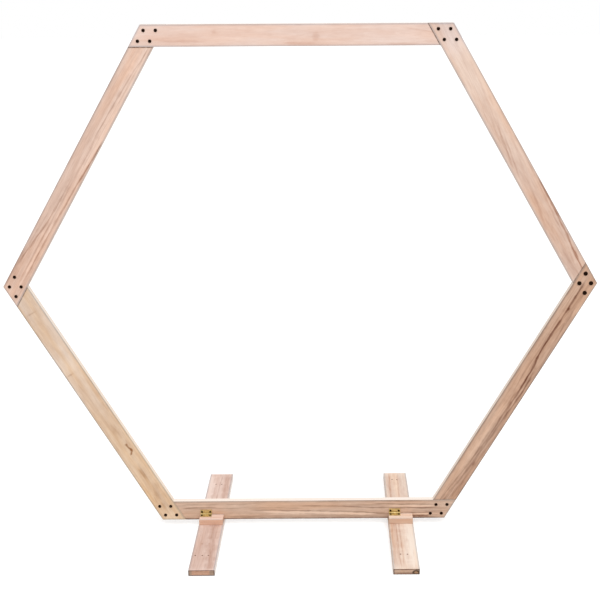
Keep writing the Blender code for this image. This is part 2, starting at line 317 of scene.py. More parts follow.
def pine_grain_group():
    """Growth rings about a pith that wanders along the board, with fibres and broad patches.

    Place is the piece's own frame: x along the grain, y across the face, z through the piece.
    """
    tree, given = new_group("pine_grain", [
        "Pith across", "Pith depth", "Ring width", "Band density", "Wander", "Lean", "Seed",
    ], ["Rings", "Bands", "Fibre", "Flecks", "Patches", "Blush"])
    place, seed = given["Place"], given["Seed"]
    seeded = add(tree, "ShaderNodeCombineXYZ", {
        "X": times(tree, seed, SEED_SPREAD_X), "Y": seed,
        "Z": times(tree, seed, SEED_SPREAD_Z)}).outputs[0]
    own_place = vector_calc(tree, "ADD", place, seeded)

    drift = noise(tree, own_place, DRIFT_SCALE)
    ripple = noise(tree, own_place, RIPPLE_SCALE, 3.0)
    drift_by = times(tree, calc(tree, "SUBTRACT", drift, 0.5), given["Wander"])
    ripple_by = times(tree, calc(tree, "SUBTRACT", ripple, 0.5), RING_RIPPLE)
    axes = split(tree, place)
    across = calc(tree, "SUBTRACT", axes["Y"], given["Pith across"])
    across = calc(tree, "MULTIPLY_ADD", axes["X"], given["Lean"], across)
    depth = calc(tree, "SUBTRACT", axes["Z"], given["Pith depth"])
    depth = calc(tree, "MULTIPLY_ADD", drift_by, PITH_DRIFT, depth)
    radius = calc(tree, "ADD", length_of(tree, across, depth), ripple_by)

    turns = calc(tree, "DIVIDE", radius, given["Ring width"])
    late = window(tree, calc(tree, "FRACT", turns), LATE_WOOD_RISE, LATE_WOOD_FALL)
    strength = line_noise(tree, calc(tree, "MULTIPLY_ADD", turns, RING_VARIETY, seed))
    bands_at = calc(tree, "MULTIPLY_ADD", radius, given["Band density"], seed)
    add(tree, "NodeGroupOutput", {
        "Rings": times(tree, late, between(tree, strength, 0.25, 0.75, 0.25, 1.0)),
        "Bands": line_noise(tree, bands_at, 3.0, 0.6),
        "Fibre": noise(tree, own_place, FIBRE_SCALE, 3.0, 0.65),
        "Flecks": noise(tree, own_place, FLECK_SCALE, 3.0, 0.6),
        "Patches": noise(tree, own_place, PATCH_SCALE, 3.0),
        "Blush": noise(tree, own_place, BLUSH_SCALE, 3.0)})
    return tree


def grain_streak_group():
    """The darkening of one streak: how near a point is to the streak's line, faded at both ends."""
    tree, given = new_group("grain_streak", [
        "Line", "Half width", "Start", "End", "Fade", "Strength", "Seed"], ["Tone"])
    place, seed, start, end, fade = (given[name] for name in ("Place", "Seed", "Start", "End", "Fade"))
    axes = split(tree, place)
    along, across = axes["X"], axes["Y"]
    sway = line_noise(tree, calc(tree, "MULTIPLY_ADD", along, SWAYS_PER_METRE, seed), 3.0)
    away = apart(tree, across, swayed(tree, given["Line"], sway, STREAK_SWAY))
    swell = line_noise(tree, calc(tree, "MULTIPLY_ADD", along, SWELLS_PER_METRE, seed))
    reach = times(tree, given["Half width"], between(tree, swell, 0.3, 0.7, 0.9, 1.7))
    core = between(tree, calc(tree, "DIVIDE", away, reach), 0.1, 1.0, 1.0, 0.0)
    ends = window(tree, along, (start, calc(tree, "ADD", start, fade)),
                  (calc(tree, "SUBTRACT", end, fade), end))
    mottle = between(tree, noise(tree, place, MOTTLE_SCALE), 0.25, 0.7, 0.55, 1.1)
    add(tree, "NodeGroupOutput", {"Tone": times(tree, core, ends, mottle, given["Strength"])})
    return tree


def pin_knot_group():
    """The darkening of a small knot or blotch, with a soft halo about it."""
    tree, given = new_group("pin_knot", [
        "Along", "Across", "Half length", "Half width", "Strength"], ["Tone"])
    axes = split(tree, given["Place"])
    x = calc(tree, "DIVIDE", calc(tree, "SUBTRACT", axes["X"], given["Along"]), given["Half length"])
    y = calc(tree, "DIVIDE", calc(tree, "SUBTRACT", axes["Y"], given["Across"]), given["Half width"])
    ragged = noise(tree, given["Place"], KNOT_SCALE, 3.0)
    away = swayed(tree, length_of(tree, x, y), ragged, 0.9)
    heart = between(tree, away, 0.25, 1.0, 1.0, 0.0)
    halo = between(tree, away, 0.6, 2.6, 0.22, 0.0)
    tone = times(tree, calc(tree, "ADD", heart, halo), given["Strength"])
    add(tree, "NodeGroupOutput", {"Tone": tone})
    return tree


PINE_GRAIN = pine_grain_group()
GRAIN_STREAK = grain_streak_group()
PIN_KNOT = pin_knot_group()


def streak(points, half_width, strength, fade=0.05):
    """A streak through points given as shares of the piece: along it, and across from edge to edge.

    The half width and the fade at its ends are in metres. A negative strength makes it paler.
    """
    return "streak", points, half_width, strength, fade


def band(start, end, across, *rest):
    """A straight streak, from one share along the piece to another."""
    return streak([(start, across), (end, across)], *rest)


def knot(along, across, half_length, half_width, strength):
    """A knot or blotch, placed by shares of the piece, with its size in metres."""
    return "knot", along, across, half_length, half_width, strength


def feature_tone(tree, place, share, size, feature, seed):
    """The darkening that a streak or knot gives to a piece."""
    kind, *values = feature
    length, width = size[:2]
    if kind == "knot":
        along, across, half_length, half_width, strength = values
        return use_group(tree, PIN_KNOT, {
            "Place": place, "Along": (along - 0.5) * length, "Across": (0.5 - across) * width,
            "Half length": half_length, "Half width": half_width, "Strength": strength})["Tone"]
    points, half_width, strength, fade = values
    bend = add(tree, "ShaderNodeFloatCurve", {"Value": share})
    curve = bend.mapping.curves[0]
    curve.points[0].location = points[0]
    curve.points[1].location = points[-1]
    for point in points[1:-1]:
        curve.points.new(*point)
    bend.mapping.extend = "HORIZONTAL"
    bend.mapping.update()
    return use_group(tree, GRAIN_STREAK, {
        "Place": place, "Line": calc(tree, "MULTIPLY_ADD", bend.outputs["Value"], -width, width / 2),
        "Half width": half_width, "Strength": strength, "Fade": fade, "Seed": seed,
        "Start": (points[0][0] - 0.5) * length, "End": (points[-1][0] - 0.5) * length})["Tone"]


def inside_mitre(tree, place, end):
    """How far a point of a board lies inside its mitred cut: end 1 is the far end, -1 the near one."""
    outwards = Vector((end * math.cos(TURN / 2), math.sin(TURN / 2), 0))
    corner = outwards.dot(Vector((end * SIDE_LENGTH / 2, BOARD_WIDTH / 2, 0)))
    return calc(tree, "SUBTRACT", corner, dot(tree, place, outwards))


def shade_edges(tree, colour, from_edge, side, strength):
    """A painted cool grey shade on a face, along its arrises."""
    line = between(tree, from_edge, 0.001, 0.0085, strength, 0.0)
    return tinted(tree, times(tree, line, calc(tree, "SUBTRACT", 1.0, side)), colour, EDGE_SHADE_TINT)


def shade_seam(tree, colour, place, end, strength):
    """The dark line at a lap's shoulder, where a board runs under the next one: painted shadow in the
    gap, and its broken arris.
    """
    away = apart(tree, inside_mitre(tree, place, end), BOARD_WIDTH)
    broken = between(tree, noise(tree, place, SEAM_SCALE), 0.3, 0.6, 0.55, 1.0)
    line = times(tree, between(tree, away, 0.0012, 0.0044, strength, 0.0), broken)
    return blend_colour(tree, line, colour, SEAM_SHADOW_COLOUR)


def stained_end(tree, colour, place, axes, size, ends):
    """A sawn foot end: dark along its border and in a line of grain, greyed at its two sides."""
    ragged = noise(tree, place, SAWN_SCALE, 3.0)
    from_border = calc(tree, "MINIMUM", inside(tree, axes["Y"], size[1]),
                       inside(tree, axes["Z"], size[2]))
    border = between(tree, swayed(tree, from_border, ragged, -0.006), 0.0012, 0.0054, 1.0, 0.0)
    stained = tinted(tree, 0.85, colour, ends["middle"])
    low, high = ends["worn"]
    worn = calc(tree, "ADD", between(tree, axes["Y"], low - 0.004, low + 0.002, 0.75, 0.0),
                between(tree, axes["Y"], high, high + 0.006, 0.0, 0.75))
    stained = blend_colour(tree, worn, stained, WORN_COLOUR)
    from_line = apart(tree, axes["Z"], ends["line"])
    line = between(tree, from_line, 0.0006, 0.003, ends["line_strength"], 0.0)
    stained = tinted(tree, calc(tree, "MAXIMUM", border, line), stained, ends["border"])
    if "knot" in ends:
        across, up, reach = ends["knot"]
        y = calc(tree, "SUBTRACT", axes["Y"], across)
        z = times(tree, calc(tree, "SUBTRACT", axes["Z"], up), 1.5)
        away = swayed(tree, length_of(tree, y, z), ragged, reach)
        heart = between(tree, away, reach * 0.6, reach, 1.0, 0.0)
        ring = window(tree, away, (reach * 0.35, reach * 0.7), (reach * 0.9, reach * 1.4))
        stained = blend_colour(tree, heart, stained, END_KNOT_HEART)
        stained = blend_colour(tree, ring, stained, END_KNOT_RING)
    return stained


def pine_tone(tree, place, share, size, wood, grain, features):
    """How dark the wood is, from 0 to 1: its rings and fibres, with all its streaks and knots."""
    tone = calc(tree, "MULTIPLY_ADD", wood["Rings"], grain["rings"], grain["tone"])
    for output in ("Bands", "Patches", "Flecks", "Fibre"):
        tone = swayed(tree, tone, wood[output], 2 * grain[output.lower()])
    for number, feature in enumerate(features):
        seed = grain["seed"] + SEED_STEP * number
        tone = calc(tree, "ADD", tone, feature_tone(tree, place, share, size, feature, seed))
    return between(tree, tone, 0.0, 1.0, kind="LINEAR")


def pine_material(node, stock, look):
    """Raw pine for one piece, from its look: colours, ring pattern, streaks and knots."""
    middle, (along, across, through), size = stock
    material, tree, shader = new_material(f"raw_pine_{node}")
    coordinates = add(tree, "ShaderNodeTexCoord").outputs
    facing = coordinates["Normal"]
    place = add(tree, "ShaderNodeMapping", {
        "Vector": coordinates["Object"], "Location": middle,
        "Rotation": Matrix((along, across, through)).transposed().to_euler(),
    }, vector_type="TEXTURE").outputs["Vector"]
    axes = split(tree, place)
    share = calc(tree, "MULTIPLY_ADD", axes["X"], 1 / size[0], 0.5)

    grain = {**USUAL_GRAIN, **look["grain"]}
    wood = use_group(tree, PINE_GRAIN, {
        "Place": place, "Pith across": grain["pith"][0], "Pith depth": grain["pith"][1],
        "Ring width": RING_WIDTH, "Band density": grain["density"], "Wander": grain["wander"],
        "Lean": grain["lean"], "Seed": grain["seed"]})
    tone = pine_tone(tree, place, share, size, wood, grain, look["features"])
    colour = blend_colour(tree, tone, look["light"], look["dark"])
    blush = between(tree, wood["Blush"], 0.35, 0.7, 0.0, grain["blush"])
    colour = tinted(tree, blush, colour, look["warm"])
    for start, end, fade, tint in look.get("tints", ()):
        here = window(tree, share, (start - fade, start + fade), (end - fade, end + fade))
        colour = tinted(tree, here, colour, (*tint, 1.0))

    side = between(tree, calc(tree, "ABSOLUTE", dot(tree, facing, across)), 0.6, 0.9)
    from_edge = inside(tree, axes["Y"], size[1])
    laps = (1, -1) if "seam" in look else ()
    for lap in laps:
        from_edge = calc(tree, "MINIMUM", from_edge, inside_mitre(tree, place, lap))
    # Painted shade along the arrises and the mitred ends
    colour = shade_edges(tree, colour, from_edge, side, look.get("edges", EDGE_SHADE_STRENGTH))
    # Painted gap shadow at the lap shoulders, on the faces that show them
    for lap in laps:
        showing = between(tree, dot(tree, facing, through * lap), 0.5, 0.9)
        colour = shade_seam(tree, colour, place, lap, times(tree, showing, look["seam"]))
    mode, side_colour, side_share = look.get("sides", PALE_SIDES)
    colour = blend_colour(tree, times(tree, side, side_share), colour, side_colour, mode)
    end = between(tree, calc(tree, "ABSOLUTE", dot(tree, facing, along)), 0.55, 0.9)
    if "ends" in look:
        sawn = stained_end(tree, colour, place, axes, size, look["ends"])
        colour = blend_colour(tree, end, colour, sawn)
    else:
        colour = tinted(tree, times(tree, end, 0.8), colour, CUT_END_TINT)

    relief = calc(tree, "MULTIPLY_ADD", wood["Rings"], -0.35, wood["Fibre"])
    fill(tree, shader, {
        "Base Color": colour, "Roughness": between(tree, wood["Fibre"], 0.3, 0.7, 0.68, 0.54),
        "Specular IOR Level": 0.25, "Normal": bump(tree, relief, 0.35, 0.0003)})
    return material


# What looks have in common, and what they leave out: how strong each part of the grain shows
USUAL_GRAIN = {"rings": 0.1, "bands": 0.12, "patches": 0.2, "flecks": 0.2, "fibre": 0.1,
               "tone": 0.25, "blush": 0.8, "density": 105.0, "wander": 0.012, "lean": 0.0}
PALE_SIDES = ("MIX", srgb(242, 230, 218), 0.75)
# Painted cool grey shade along the arrises, and how strong it usually is
EDGE_SHADE_TINT, EDGE_SHADE_STRENGTH = srgb(214, 226, 238), 0.9
# Colour of the lap seams: painted shadow in the gap, with broken arrises
SEAM_SHADOW_COLOUR = srgb(84, 58, 44)
CUT_END_TINT = srgb(214, 190, 168)
WORN_COLOUR = srgb(160, 140, 122)
END_KNOT_HEART, END_KNOT_RING = srgb(168, 130, 98), srgb(86, 64, 46)

# The boards clockwise from the top. Places are shares of the board: along it clockwise, and across
# from its outer edge. A tint has its start, end and fade along the board, and its factors for light.
BOARD_LOOKS = {
    "top_rail": {
        "light": srgb(246, 222, 210), "dark": srgb(196, 146, 122), "warm": srgb(255, 243, 234),
        "grain": {"pith": (0.01, -0.09), "seed": 1.7, "rings": 0.05, "bands": 0.07, "patches": 0.22,
                  "fibre": 0.07, "tone": 0.2, "wander": 0.02},
        "seam": 0.95,
        "features": [
            knot(0.56, 0.6, 0.018, 0.02, 0.22), knot(0.235, 0.35, 0.012, 0.008, 0.18),
            streak([(0.03, 0.72), (0.12, 0.75), (0.22, 0.78)], 0.005, 0.26),
            streak([(0.44, 0.84), (0.5, 0.88), (0.58, 0.92)], 0.006, 0.26),
            streak([(0.3, 0.12), (0.5, 0.1), (0.75, 0.08)], 0.004, 0.08),
            band(0.15, 0.95, 0.14, 0.012, -0.1, 0.12),
            streak([(0.5, 0.6), (0.6, 0.34), (0.78, 0.26)], 0.003, 0.08),
            streak([(0.76, 0.9), (0.82, 0.92), (0.9, 0.93)], 0.005, 0.18),
            streak([(0.84, 0.24), (0.91, 0.34), (0.96, 0.52)], 0.003, 0.12),
        ],
    },
    "upper_right_board": {
        "light": srgb(241, 215, 198), "dark": srgb(158, 104, 76), "warm": srgb(255, 239, 224),
        "grain": {"pith": (0.03, -0.1), "seed": 4.1, "rings": 0.08, "bands": 0.13, "lean": 0.1,
                  "density": 150.0, "tone": 0.19},
        "seam": 0.85, "tints": [(-0.2, 0.08, 0.05, (1.0, 1.05, 1.14))],
        "features": [
            streak([(0.56, 0.02), (0.64, 0.05), (0.72, 0.09), (0.8, 0.16), (0.9, 0.27), (1.0, 0.34)],
                   0.0048, 0.62),
            streak([(0.4, 0.05), (0.55, 0.11), (0.66, 0.2), (0.8, 0.3)], 0.003, 0.18),
            streak([(0.33, 0.45), (0.42, 0.64), (0.52, 0.88)], 0.0055, 0.3),
            streak([(0.38, 0.42), (0.46, 0.6), (0.56, 0.84)], 0.004, 0.2),
            streak([(0.28, 0.48), (0.35, 0.66), (0.42, 0.85)], 0.004, 0.14),
            streak([(0.58, 0.55), (0.68, 0.72), (0.76, 0.9)], 0.005, 0.14),
            streak([(0.1, 0.1), (0.25, 0.34), (0.38, 0.6)], 0.004, 0.1),
            streak([(0.42, 0.55), (0.75, 0.6), (1.0, 0.6)], 0.046, 0.13, 0.25),
            band(0.0, 0.3, 0.5, 0.05, -0.1, 0.12), band(0.0, 0.14, 0.5, 0.05, -0.13, 0.08),
            band(0.0, 0.55, 0.13, 0.012, -0.12, 0.1),
            streak([(0.8, 0.7), (1.0, 0.66)], 0.026, 0.2, 0.1),
        ],
    },
    "lower_right_board": {
        "light": srgb(224, 190, 166), "dark": srgb(112, 68, 46), "warm": srgb(255, 242, 230),
        "grain": {"pith": (0.02, -0.05), "seed": 8.3, "rings": 0.14, "bands": 0.17, "patches": 0.1,
                  "fibre": 0.12, "tone": 0.2, "density": 150.0, "wander": 0.016},
        "seam": 0.45,
        "features": [
            streak([(0.0, 0.55), (0.12, 0.52), (0.25, 0.52), (0.31, 0.5), (0.36, 0.4), (0.44, 0.35),
                    (0.56, 0.33)], 0.0048, 0.62),
            streak([(0.35, 0.24), (0.42, 0.2), (0.5, 0.18), (0.58, 0.21)], 0.0048, 0.46, 0.09),
            streak([(0.08, 0.26), (0.2, 0.22), (0.3, 0.12), (0.4, 0.05)], 0.004, 0.22),
            streak([(0.45, 0.5), (0.55, 0.38), (0.62, 0.36), (0.72, 0.42), (0.84, 0.56), (1.0, 0.78)],
                   0.004, 0.3),
            streak([(0.52, 0.22), (0.62, 0.25), (0.72, 0.3), (0.85, 0.42), (1.0, 0.62)], 0.005, 0.32),
            streak([(0.6, 0.1), (0.75, 0.15), (0.9, 0.3), (1.0, 0.44)], 0.005, 0.18, 0.12),
            band(0.0, 0.38, 0.13, 0.012, -0.08), band(0.62, 0.85, 0.13, 0.012, -0.1),
            streak([(0.04, 0.7), (0.2, 0.66), (0.32, 0.62), (0.46, 0.6)], 0.003, 0.22),
            streak([(0.5, 0.64), (0.66, 0.62), (0.86, 0.74)], 0.01, -0.22, 0.1),
            band(0.0, 1.0, 0.24, 0.034, 0.16), band(0.0, 0.88, 0.97, 0.0065, 0.26),
            band(0.14, 1.0, 0.02, 0.0035, 0.24, 0.1), band(0.0, 0.16, 0.14, 0.011, -0.2, 0.03),
            band(0.24, 0.35, 0.5, 0.03, 0.09, 0.03), band(0.4, 0.6, 0.36, 0.022, -0.08, 0.04),
            band(0.0, 0.06, 0.5, 0.05, -0.06, 0.02),
            knot(0.125, 0.47, 0.01, 0.004, 0.35), knot(0.77, 0.26, 0.014, 0.007, 0.28),
        ],
    },
    "bottom_rail": {
        "light": srgb(232, 201, 178), "dark": srgb(112, 70, 48), "warm": srgb(255, 240, 226),
        "grain": {"pith": (0.09, -0.03), "seed": 12.9, "rings": 0.12, "bands": 0.16, "patches": 0.08,
                  "fibre": 0.12, "tone": 0.24, "density": 170.0, "wander": 0.008},
        "seam": 0.15, "sides": ("MIX", srgb(243, 231, 221), 0.9),
        "features": [
            streak([(0.22, 0.22), (0.3, 0.26), (0.37, 0.3), (0.45, 0.33), (0.56, 0.37), (0.67, 0.42)],
                   0.0052, -0.55, 0.08),
            streak([(0.15, 0.2), (0.22, 0.28), (0.3, 0.36), (0.42, 0.41), (0.55, 0.46), (0.7, 0.5)],
                   0.0034, 0.33),
            streak([(0.02, 0.57), (0.12, 0.57), (0.25, 0.6), (0.4, 0.68), (0.52, 0.72)], 0.0032, 0.36),
            streak([(0.03, 0.77), (0.15, 0.78), (0.27, 0.8)], 0.003, 0.44),
            streak([(0.02, 0.66), (0.1, 0.67), (0.22, 0.69)], 0.004, -0.36),
            streak([(0.7, 0.72), (0.8, 0.72), (0.94, 0.7)], 0.004, -0.12),
            streak([(0.48, 0.57), (0.65, 0.62), (0.8, 0.6), (0.95, 0.58)], 0.0028, 0.2),
            streak([(0.02, 0.2), (0.4, 0.16), (0.76, 0.15)], 0.012, 0.14, 0.08),
            streak([(0.22, 0.72), (0.38, 0.71)], 0.007, 0.15),
            streak([(0.62, 0.83), (0.8, 0.82), (0.95, 0.8)], 0.0028, 0.28),
            streak([(0.2, 0.1), (0.5, 0.13), (0.8, 0.16)], 0.0026, 0.2),
            streak([(0.0, 0.03), (0.5, 0.04), (1.0, 0.04)], 0.0034, 0.4),
            band(0.05, 0.125, 0.14, 0.0034, 0.5, 0.012), band(0.04, 0.125, 0.06, 0.007, 0.15, 0.012),
            band(0.04, 0.125, 0.23, 0.0036, -0.5, 0.012),
            streak([(-0.02, 0.57), (0.06, 0.56), (0.14, 0.58)], 0.0028, 0.2, 0.02),
            streak([(-0.02, 0.41), (0.05, 0.4), (0.12, 0.42)], 0.0026, 0.24, 0.02),
            band(0.04, 0.14, 0.31, 0.0032, 0.3, 0.03),
            streak([(0.8, 0.66), (0.87, 0.65), (0.93, 0.64)], 0.0036, 0.34, 0.02),
            band(0.84, 0.94, 0.04, 0.005, 0.2, 0.02),
            streak([(0.08, 0.96), (0.45, 0.97)], 0.003, 0.3),
            band(0.0, 0.08, 0.5, 0.05, 0.07, 0.02),
        ],
    },
    "lower_left_board": {
        "light": srgb(241, 217, 195), "dark": srgb(152, 106, 70), "warm": srgb(254, 238, 214),
        "grain": {"pith": (-0.01, -0.12), "seed": 16.4, "rings": 0.07, "bands": 0.1, "fibre": 0.09,
                  "tone": 0.17},
        "seam": 0.75,
        "tints": [(-0.2, 0.4, 0.15, (1.02, 1.0, 0.93)), (0.66, 0.95, 0.03, (0.98, 1.01, 1.06))],
        "features": [
            streak([(0.264, 0.54), (0.274, 0.64), (0.283, 0.71), (0.292, 0.65), (0.314, 0.6)],
                   0.0054, 0.84, 0.006),
            knot(0.284, 0.69, 0.007, 0.005, 0.56),
            knot(0.375, 0.58, 0.03, 0.011, 0.15), knot(0.19, 0.5, 0.035, 0.01, 0.2),
            knot(0.09, 0.5, 0.025, 0.009, 0.14), knot(0.622, 0.28, 0.005, 0.018, 0.24),
            knot(0.873, 0.4, 0.004, 0.026, 0.18),
            streak([(0.28, 0.34), (0.45, 0.42), (0.6, 0.3)], 0.003, 0.14),
            streak([(0.05, 0.2), (0.3, 0.14), (0.6, 0.12)], 0.003, 0.14),
            streak([(0.02, 0.8), (0.3, 0.84), (0.62, 0.82)], 0.003, 0.1),
            band(0.0, 0.62, 0.5, 0.04, 0.06, 0.06),
            streak([(0.0, 0.48), (0.14, 0.5), (0.24, 0.5)], 0.022, 0.2, 0.06),
            band(0.6, 0.7, 0.45, 0.03, -0.08, 0.05), band(0.0, 0.07, 0.5, 0.05, 0.12, 0.02),
            band(0.66, 1.0, 0.55, 0.046, 0.07, 0.06), knot(0.31, 0.74, 0.03, 0.008, 0.16),
            band(0.94, 1.0, 0.5, 0.05, 0.05, 0.01), band(0.0, 1.0, 0.03, 0.004, 0.16),
        ],
    },
    "upper_left_board": {
        "light": srgb(243, 214, 197), "dark": srgb(146, 98, 72), "warm": srgb(255, 239, 226),
        "grain": {"pith": (0.05, -0.05), "seed": 21.6, "rings": 0.1, "bands": 0.13, "tone": 0.2,
                  "density": 150.0},
        "seam": 0.95,
        "features": [
            streak([(0.07, 0.03), (0.14, 0.18), (0.22, 0.33), (0.3, 0.46), (0.38, 0.49), (0.48, 0.51)],
                   0.0042, 0.32, 0.08),
            streak([(0.1, 0.02), (0.2, 0.16), (0.32, 0.28)], 0.003, 0.15),
            streak([(0.0, 0.54), (0.18, 0.56), (0.4, 0.6), (0.66, 0.62)], 0.0036, 0.22, 0.12),
            streak([(0.43, 0.85), (0.53, 0.92), (0.61, 0.96)], 0.0034, 0.4, 0.03),
            streak([(0.0, 0.67), (0.14, 0.66), (0.3, 0.73)], 0.0048, -0.34),
            streak([(0.06, 0.74), (0.2, 0.74), (0.31, 0.77), (0.43, 0.84), (0.53, 0.91), (0.62, 0.96)],
                   0.0042, 0.42),
            streak([(0.45, 0.72), (0.6, 0.75), (0.8, 0.8), (0.96, 0.82)], 0.0028, 0.22),
            streak([(0.6, 0.56), (0.7, 0.61), (0.84, 0.72), (0.96, 0.85)], 0.003, 0.3, 0.05),
            streak([(0.0, 0.1), (0.08, 0.1), (0.18, 0.12)], 0.01, 0.14),
            streak([(0.44, 0.84), (0.84, 0.82), (1.0, 0.76)], 0.022, -0.22, 0.08),
            band(0.02, 0.46, 0.24, 0.02, 0.1, 0.08), band(0.0, 1.0, 0.03, 0.004, 0.12),
            band(0.0, 0.09, 0.5, 0.05, 0.09, 0.03), band(0.76, 1.0, 0.4, 0.034, -0.1, 0.14),
        ],
    },
}

# Places on the feet: along from the back end to the front, and across from the right edge
FOOT_LOOKS = {
    "left_foot": {
        "light": srgb(230, 207, 196), "dark": srgb(158, 108, 84), "warm": srgb(255, 239, 228),
        "grain": {"pith": (0.01, -0.08), "seed": 29.4, "patches": 0.22, "tone": 0.2, "blush": 0.4,
                  "density": 150.0},
        "sides": ("MIX", srgb(252, 242, 234), 0.85),
        "ends": {"middle": srgb(242, 214, 188), "border": srgb(122, 88, 68), "line": 0.001,
                 "line_strength": 0.3, "worn": (-0.034, 0.026)},
        "features": [
            streak([(0.52, 0.28), (0.7, 0.31), (0.86, 0.27), (1.0, 0.2)], 0.018, 0.32, 0.02),
            streak([(0.0, 0.18), (0.2, 0.2), (0.45, 0.22)], 0.014, 0.26, 0.04),
            streak([(0.0, 0.9), (0.2, 0.88), (0.45, 0.86)], 0.013, -0.3),
            streak([(0.0, 0.45), (0.22, 0.5), (0.45, 0.56)], 0.003, 0.26),
            streak([(0.0, 0.62), (0.25, 0.68), (0.45, 0.74)], 0.003, 0.22),
            band(0.52, 1.0, 0.74, 0.032, 0.16, 0.03),
            knot(0.757, 0.42, 0.007, 0.006, 0.2), knot(0.757, 0.7, 0.007, 0.006, 0.2),
        ],
    },
    "right_foot": {
        "light": srgb(238, 222, 208), "dark": srgb(174, 120, 90), "warm": srgb(255, 241, 228),
        "grain": {"pith": (-0.06, -0.03), "seed": 33.8, "rings": 0.08, "tone": 0.17, "density": 150.0},
        "sides": ("MULTIPLY", srgb(226, 216, 208), 0.6),
        "ends": {"middle": srgb(214, 196, 182), "border": srgb(132, 108, 92), "line": -0.004,
                 "line_strength": 0.45, "knot": (0.034, -0.003, 0.012), "worn": (-0.044, 0.03)},
        "features": [
            streak([(0.0, 0.8), (0.5, 0.8), (1.0, 0.76)], 0.022, 0.26),
            streak([(0.52, 0.6), (0.75, 0.58), (1.0, 0.58)], 0.0032, 0.3),
            streak([(0.52, 0.72), (0.75, 0.7), (1.0, 0.69)], 0.0032, 0.26),
            streak([(0.52, 0.88), (0.8, 0.9), (1.0, 0.9)], 0.004, 0.2),
            streak([(0.48, 0.18), (1.0, 0.14)], 0.026, -0.27),
            band(0.0, 0.48, 0.22, 0.024, 0.12),
            streak([(0.0, 0.76), (0.2, 0.78), (0.45, 0.8)], 0.0034, 0.3),
            streak([(0.0, 0.4), (0.2, 0.42), (0.45, 0.44)], 0.0034, 0.24),
            streak([(0.0, 0.3), (0.45, 0.32)], 0.012, 0.12),
        ],
    },
}

# Places on the blocks: along from left to right, and across from the back edge
BLOCK_LOOKS = {
    "left_stop_block": {
        "light": srgb(240, 216, 203), "dark": srgb(190, 136, 108), "warm": srgb(255, 242, 232),
        "grain": {"pith": (0.02, -0.06), "seed": 38.5, "rings": 0.08, "tone": 0.18},
        "sides": ("MULTIPLY", srgb(243, 229, 216), 1.0), "edges": 0.8,
        "features": [streak([(0.0, 0.5), (0.6, 0.6), (1.0, 0.5)], 0.006, 0.12, 0.01)],
    },
    "right_stop_block": {
        "light": srgb(243, 224, 208), "dark": srgb(196, 142, 112), "warm": srgb(255, 242, 232),
        "grain": {"pith": (-0.03, -0.07), "seed": 41.3, "rings": 0.08, "tone": 0.16},
        "sides": ("MULTIPLY", srgb(229, 214, 203), 1.0), "edges": 0.8,
        "features": [streak([(0.0, 0.4), (0.5, 0.5), (1.0, 0.4)], 0.006, 0.12, 0.01)],
    },
}


def dress_wood():
    for number, (name, look) in enumerate(BOARD_LOOKS.items()):
        dress(name, pine_material(name, board_stock(number), look))
    for looks, axes in ((FOOT_LOOKS, (FRONT, RIGHT, UP)), (BLOCK_LOOKS, (RIGHT, BACK, UP))):
        for name, look in looks.items():
            dress(name, pine_material(name, box_stock(name, axes), look))


# Metal: two colours, the scale of their clouds, the roughness range, metallic and specular
METALS = {
    "blackened_steel": ((0.009, 0.003, 0.001, 1), (0.024, 0.009, 0.004, 1),
                        240.0, (0.45, 0.65), 0.0, 0.04),
    "brushed_brass": (srgb(224, 202, 148), srgb(192, 166, 108), 150.0, (0.4, 0.52), 0.85, 0.5),
    "dark_screw_steel": ((0.012, 0.005, 0.001, 1), (0.036, 0.016, 0.006, 1),
                         420.0, (0.5, 0.7), 0.0, 0.04),
    "weathered_nail": (srgb(128, 88, 66), srgb(92, 62, 46), 700.0, (0.5, 0.7), 0.0, 0.2),
}
SPECK_SCALE, SPECK_COLOUR = 1900.0, (0.06, 0.03, 0.016, 1)
BRUSH_SCALE = (60.0, 1500.0, 1500.0)
# Colours of the brushed grain, and of the painted shade beside the barrel
BRUSHED_COLOUR, BARREL_SHADE_COLOUR = srgb(140, 112, 60), srgb(140, 116, 62)


def metal_material(name):
    """A metal with clouds of two colours, and with it what is needed to add more detail."""
    first, second, cloud_scale, roughness, metallic, specular = METALS[name]
    material, tree, shader = new_material(name)
    place = add(tree, "ShaderNodeTexCoord").outputs["Object"]
    cloud = noise(tree, place, cloud_scale, 4.0, 0.6)
    colour = blend_colour(tree, between(tree, cloud, 0.32, 0.7), first, second)
    fill(tree, shader, {
        "Base Color": colour, "Roughness": between(tree, cloud, 0.3, 0.7, *roughness),
        "Metallic": metallic, "Specular IOR Level": specular})
    return material, tree, shader, place, colour


def blackened_steel():
    material, tree, shader, place, colour = metal_material("blackened_steel")
    speck = noise(tree, place, SPECK_SCALE)
    colour = blend_colour(tree, between(tree, speck, 0.62, 0.75, 0.0, 0.5), colour, SPECK_COLOUR)
    fill(tree, shader, {"Base Color": colour, "Normal": bump(tree, speck, 0.2, 0.0001)})
    return material


def brushed_brass():
    """Brass with a fine brushed grain along the hinge, and painted shade in the corner beside the
    barrel.
    """
    material, tree, shader, place, colour = metal_material("brushed_brass")
    brushed = noise(tree, place, BRUSH_SCALE, 3.0, 0.6)
    colour = blend_colour(tree, between(tree, brushed, 0.55, 0.8, 0.0, 0.4), colour, BRUSHED_COLOUR)
    pin = middle_of("left_hinge_pin")
    axes = split(tree, place)
    from_pin = length_of(tree, calc(tree, "SUBTRACT", axes["Y"], pin.y),
                         calc(tree, "SUBTRACT", axes["Z"], pin.z))
    # Painted contact shade on the brass, in a ring about the pin beside the barrel
    barrel_shade = window(tree, from_pin, (0.0025, 0.003), (0.0034, 0.0062), 0.75)
    colour = blend_colour(tree, barrel_shade, colour, BARREL_SHADE_COLOUR)
    fill(tree, shader, {"Base Color": colour, "Normal": bump(tree, brushed, 0.15, 0.0001)})
    return material


# Small metal pieces, made once and set out by Geometry Nodes

